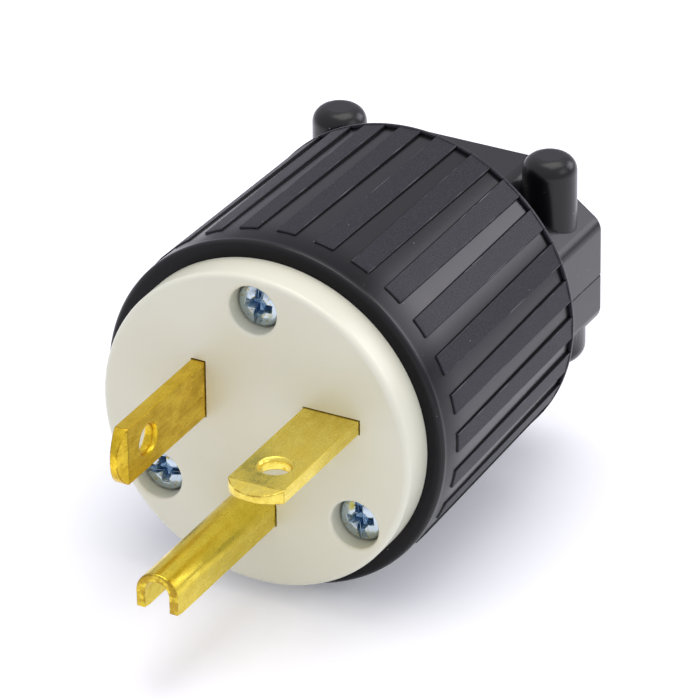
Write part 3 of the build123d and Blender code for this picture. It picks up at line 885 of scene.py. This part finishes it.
def make_clamp_half(name, front_y, corner_z, far_z, far_half_width):
    """Block of one clamp half: straight cheeks from the parting line, then shoulders that slope in."""
    bpy.ops.mesh.primitive_cube_add(
        size=1, location=(0, (front_y + clamp_rear) / 2, corner_z / 2),
        scale=(2 * clamp_half_width, clamp_rear - front_y, abs(corner_z))
    )
    block = start_piece(name)
    pick("FACE", lambda middle: near(middle.z, corner_z))
    pull(0, 0, far_z - corner_z)
    bpy.ops.transform.resize(value=(far_half_width / clamp_half_width, 1, 1), center_override=(0, 0, 0))
    pick("EDGE", lambda middle: near(middle.x, 0) and near(middle.z, corner_z))
    bpy.ops.mesh.dissolve_edges(use_verts=False)
    lean = math.atan2(clamp_half_width - far_half_width, abs(far_z - corner_z))
    for x, z, turn in ((clamp_half_width, corner_z, lean), (far_half_width, far_z, math.pi / 2 - lean)):
        pick("EDGE", lambda middle: near(abs(middle.x), x) and near(middle.z, z))
        bpy.ops.mesh.bevel(offset=clamp_corner_round * math.tan(turn / 2), segments=6, affect="EDGES")
    pick("EDGE", lambda middle: near(middle.y, clamp_rear) and abs(middle.z) > clamp_edge_round)
    bpy.ops.mesh.bevel(offset=clamp_edge_round, segments=3, affect="EDGES")
    pick("EDGE", lambda middle: near(middle.z, 0))
    bpy.ops.mesh.bevel(offset=parting_edge_break, segments=2, affect="EDGES")
    bpy.ops.object.mode_set(mode="OBJECT")
    return block


def rounded_post(x, far_z, radius, edge_round):
    """Round post from the parting line to far_z with its end rounded over."""
    post = rod_tool((x, post_y, 0), (0, 0, math.copysign(1, far_z)), radius, abs(far_z), 64)
    bpy.ops.object.mode_set(mode="EDIT")
    pick("EDGE", lambda middle: near(middle.z, far_z))
    bpy.ops.mesh.bevel(offset=edge_round, segments=8, affect="EDGES")
    bpy.ops.object.mode_set(mode="OBJECT")
    return post


def cord_tool():
    """Shape of the cord's way out: a round passage pinched by ridges and flared at the mouth."""
    front = rear_y - rear_wall - clearance
    bpy.ops.mesh.primitive_cylinder_add(
        vertices=96, radius=cord_radius, depth=clearance,
        location=(0, front + clearance / 2, 0), rotation=(-math.pi / 2, 0, 0)
    )
    tool = start_piece("cord_tool")
    stations = []
    for middle in ridge_middles:
        stations += [(middle - ridge_base, cord_radius), (middle - ridge_top, ridge_radius)]
        stations += [(middle + ridge_top, ridge_radius), (middle + ridge_base, cord_radius)]
    stations.append((clamp_rear - mouth_flare, cord_radius))
    stations.append((clamp_rear + mouth_flare, cord_radius + 2 * mouth_flare))
    pick("FACE", lambda middle: near(middle.y, front + clearance))
    last_y, last_radius = front + clearance, cord_radius
    for y, radius in stations:
        pull(0, y - last_y, 0)
        scale_ring(radius / last_radius, y)
        last_y, last_radius = y, radius
    bpy.ops.object.mode_set(mode="OBJECT")
    return tool


def half_disc(front_y, radius, thickness):
    """Lower half of a round disc that stands across the plug's axis."""
    disc = rod_tool((0, front_y, 0), (0, 1, 0), radius, thickness, 96)
    bpy.ops.object.mode_set(mode="EDIT")
    slice_off((0, 0, 0), (0, 0, 1))
    bpy.ops.object.mode_set(mode="OBJECT")
    return disc


boss_radius = 3.2 * mm
boss_front = face_back + 3.0 * mm
boss_hole_end = 26.6 * mm
screw_circle = 13.9 * mm
screw_turns = [math.radians(turn) for turn in (90, 215, 325)]
screw_spots = [
    Vector((screw_circle * math.cos(turn), 0, screw_circle * math.sin(turn))) for turn in screw_turns
]
lip_room_radius = 9.5 * mm

housing = make_shell("ribbed_housing")
combine(housing, "UNION", make_ribs())
mid_wall_y = rear_y - rear_wall / 2
for spot in screw_spots:
    boss = rod_tool(spot + Vector((0, boss_front, 0)), (0, 1, 0), boss_radius, mid_wall_y - boss_front)
    combine(housing, "UNION", boss)
hole_length = boss_hole_end - boss_front + clearance
for spot in screw_spots:
    mouth = spot + Vector((0, boss_front - clearance, 0))
    combine(housing, "DIFFERENCE", rod_tool(mouth, (0, 1, 0), screw_hole_radius, hole_length))
upper_half = make_clamp_half("upper_half_tool", mid_wall_y, upper_corner, upper_top, upper_top_half_width)
for x in (-post_x, post_x):
    combine(upper_half, "UNION", rounded_post(x, post_top, post_radius, post_round))
    hole = rod_tool((x, post_y, -clearance), (0, 0, 1), screw_hole_radius, post_hole_top + clearance)
    combine(upper_half, "DIFFERENCE", hole)
combine(housing, "UNION", upper_half)
combine(housing, "DIFFERENCE", cord_tool())
lip_room = half_disc(rear_y - rear_wall - clearance, lip_room_radius, rear_wall + 2 * clearance)
combine(housing, "DIFFERENCE", lip_room)
close_seams()
smooth_shading(housing)
housing_black = black_finish("ribbed_black_nylon", on_rib_tops, behind_the_ring, along_the_ribs)
place_piece(housing, housing_black, "black_nylon", "housing")


# Face screws. Zinc-plated steel, with a pan head that takes a cross or a flat driver.
# They pass through the face and the carrier into the housing's bosses.
face_low, face_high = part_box("face_screws")
face_head_radius = 2.5 * mm
face_head_height = 2.1 * mm
face_seat = face_low.y + face_head_height
face_screw_length = face_high.y - face_seat
face_screw_turns = [math.radians(turn) for turn in (84, 8, 96)]
# The drive's darker bluish colour here is painted shade.
bluish_zinc = plated_finish(
    "bluish_zinc", bright=(0.53, 0.62, 0.69, 1), tint=(0.50, 0.38, 0.06, 1),
    drive_shade=(0.16, 0.28, 0.43, 1), rough=0.14
)

for number, (spot, turn) in enumerate(zip(screw_spots, face_screw_turns), start=1):
    screw = make_screw(f"face_screw_{number}", face_head_radius, face_head_height, face_screw_length, turn)
    stand_at(screw, spot + Vector((0, face_seat, 0)), Vector((0, -1, 0)), Vector((1, 0, 0)))
    place_piece(screw, bluish_zinc, "zinc_steel", "face_screws")


# Cord clamp bar. Loose lower half of the clamp, moulded in the same black nylon with two short feet.
# The two clamp screws pull it up against the housing; a half-round lip hooks into the rear wall.
bar_front = rear_y + 0.3 * mm
lower_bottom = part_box("cord_clamp_bar")[0].z
lower_corner = -4.6 * mm
lower_bottom_half_width = 10.1 * mm
foot_radius = 3.85 * mm
foot_bottom = -8.4 * mm
foot_round = 1.6 * mm
lip_radius = 9.2 * mm
lip_reach = 1.6 * mm
lip_overlap = 0.6 * mm
clamp_head_radius = 3.0 * mm
clamp_head_height = 2.2 * mm
head_room_radius = 3.3 * mm
head_room_length = 8 * mm
bar_hole_length = 10 * mm
clamp_seat = foot_bottom + 3.1 * mm

clamp_bar = make_clamp_half(
    "lower_clamp_bar", bar_front, lower_corner, lower_bottom, lower_bottom_half_width
)
for x in (-post_x, post_x):
    combine(clamp_bar, "UNION", rounded_post(x, foot_bottom, foot_radius, foot_round))
combine(clamp_bar, "UNION", half_disc(rear_y - lip_reach, lip_radius, lip_reach + lip_overlap))
combine(clamp_bar, "DIFFERENCE", cord_tool())
for x in (-post_x, post_x):
    head_room = rod_tool((x, post_y, clamp_seat), (0, 0, -1), head_room_radius, head_room_length)
    combine(clamp_bar, "DIFFERENCE", head_room)
    hole = rod_tool((x, post_y, clearance), (0, 0, -1), screw_hole_radius, bar_hole_length)
    combine(clamp_bar, "DIFFERENCE", hole)
close_seams()
smooth_shading(clamp_bar)
clamp_black = black_finish("smooth_black_nylon", nowhere, all_over, plain_edges)
place_piece(clamp_bar, clamp_black, "black_nylon", "cord_clamp_bar")


# Clamp screws. Plain zinc-plated steel, with a broader pan head than the face screws.
# They are sunk in the bar's feet and driven up into the blind posts.
clamp_screw_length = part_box("clamp_screws")[1].z - clamp_seat
clamp_screw_turn = 0.6

left_screw = make_screw(
    "left_clamp_screw", clamp_head_radius, clamp_head_height, clamp_screw_length, clamp_screw_turn
)
right_screw = copy_of(left_screw, "right_clamp_screw")
for screw, x in ((left_screw, -post_x), (right_screw, post_x)):
    stand_at(screw, Vector((x, post_y, clamp_seat)), Vector((0, 0, -1)), Vector((1, 0, 0)))
    place_piece(screw, plate_zinc, "zinc_steel", "clamp_screws")


# Floor. A wide sheet of pale matt board under the plug, which keeps the plug's shadow.
# Near the plug it is lifted to white for the camera and for reflections.
floor_size = 6.0
floor_colour = (0.91, 0.92, 0.96, 1)
floor_far_colour = (0.62, 0.62, 0.66, 1)
floor_lift = (0.19, 0.192, 0.20, 1)
lift_fades = (0.12, 0.4)

bpy.ops.mesh.primitive_plane_add(size=floor_size, location=(0, 0, cad_box[0].z))
floor = bpy.context.object
floor.name = "floor"
board, shader, place = new_finish("pale_board")
rays = ("Camera", "Glossy", "Transmission")
seen = [place.node("ShaderNodeLightPath", {}, f"Is {ray} Ray") for ray in rays]
far = step_up(place.node("ShaderNodeVectorMath", {0: place}, "Value", operation="LENGTH"), *lift_fades)
lifted = place.math("MINIMUM", seen[0] + seen[1] + seen[2], 1.0) * (1 - far)
shader_sockets = {
    "Base Color": blend(far, floor_colour, floor_far_colour),
    "Roughness": 0.9,
    "Specular IOR Level": 0.0,
    "Emission Color": blend(lifted, (0, 0, 0, 1), floor_lift),
    "Emission Strength": 1.0,
}
place.feed(shader, shader_sockets)
floor.data.materials.append(board)


# Light. A pale room, dimmer low behind the plug, with a broad soft box above and a weak one on the right.
# A third box, behind on the right, shows in reflections alone.
def soft_box(name, spot, width, watts, tint, lit=True):
    """Square lamp that faces the plug, unseen by the camera; an unlit one shows in reflections alone."""
    lamp = bpy.data.lights.new(name, "AREA")
    lamp.size = width
    lamp.energy = watts
    lamp.color = tint
    box = bpy.data.objects.new(name, lamp)
    box.location = spot
    box.rotation_euler = (-Vector(spot)).to_track_quat("-Z", "Y").to_euler()
    box.visible_camera = False
    box.visible_diffuse = lit
    bpy.context.collection.objects.link(box)


world = bpy.data.worlds.new("pale_room")
bpy.context.scene.world = world
world.use_nodes = True
room = world.node_tree.nodes["Background"]
sky = Shade(world.node_tree).node("ShaderNodeTexCoord", {}, "Generated")
height = sky.node("ShaderNodeSeparateXYZ", {"Vector": sky}, "Z")
depth = sky.node("ShaderNodeSeparateXYZ", {"Vector": sky}, "Y")
rise = step_up(height, 0.0, 0.9)
front_room = blend(rise, (0.70, 0.70, 0.78, 1), (0.84, 0.83, 0.90, 1))
back_room = blend(rise, (0.46, 0.455, 0.52, 1), (0.78, 0.77, 0.84, 1))
sky.feed(room, {"Color": blend(step_up(depth, 0.1, 0.8), front_room, back_room), "Strength": 1.0})
soft_box("top_box", (0.07, 0.2, 0.88), width=0.7, watts=3.6, tint=(1, 0.97, 0.90))
soft_box("right_box", (0.49, 0.73, 0.35), width=0.46, watts=2.0, tint=(0.95, 0.93, 1.0), lit=False)
soft_box("side_box", (0.75, 0.05, 0.45), width=0.4, watts=0.7, tint=(0.93, 0.96, 1.0))


# Camera. A long lens before the plug's face, above it and to its right, a touch out of level.
# Its place and its focal length in pixels were fitted to the contacts' standard spacing.
azimuth = math.radians(28.27)
elevation = math.radians(28.68)
roll = math.radians(-0.60)
stand_off = 750 * mm
aim = (9.72 * mm, 8.32 * mm)
focal_pixels = 7399.41
frame_pixels = 700
sensor = 36.0

reach = math.cos(elevation)
back = Vector((math.sin(azimuth) * reach, -math.cos(azimuth) * reach, math.sin(elevation)))
level = Vector((math.cos(azimuth), math.sin(azimuth), 0))
upright = back.cross(level)
right = level * math.cos(roll) + upright * math.sin(roll)
up = upright * math.cos(roll) - level * math.sin(roll)
lens = bpy.data.cameras.new("long_lens")
lens.sensor_width = sensor
lens.lens = sensor * focal_pixels / frame_pixels
lens.clip_end = 10.0
camera = bpy.data.objects.new("camera", lens)
camera.matrix_world = Matrix((right, up, back)).transposed().to_4x4()
camera.location = aim[0] * right + aim[1] * up + stand_off * back
bpy.context.collection.objects.link(camera)
bpy.context.scene.camera = camera
bpy.context.scene.view_settings.view_transform = "Standard"
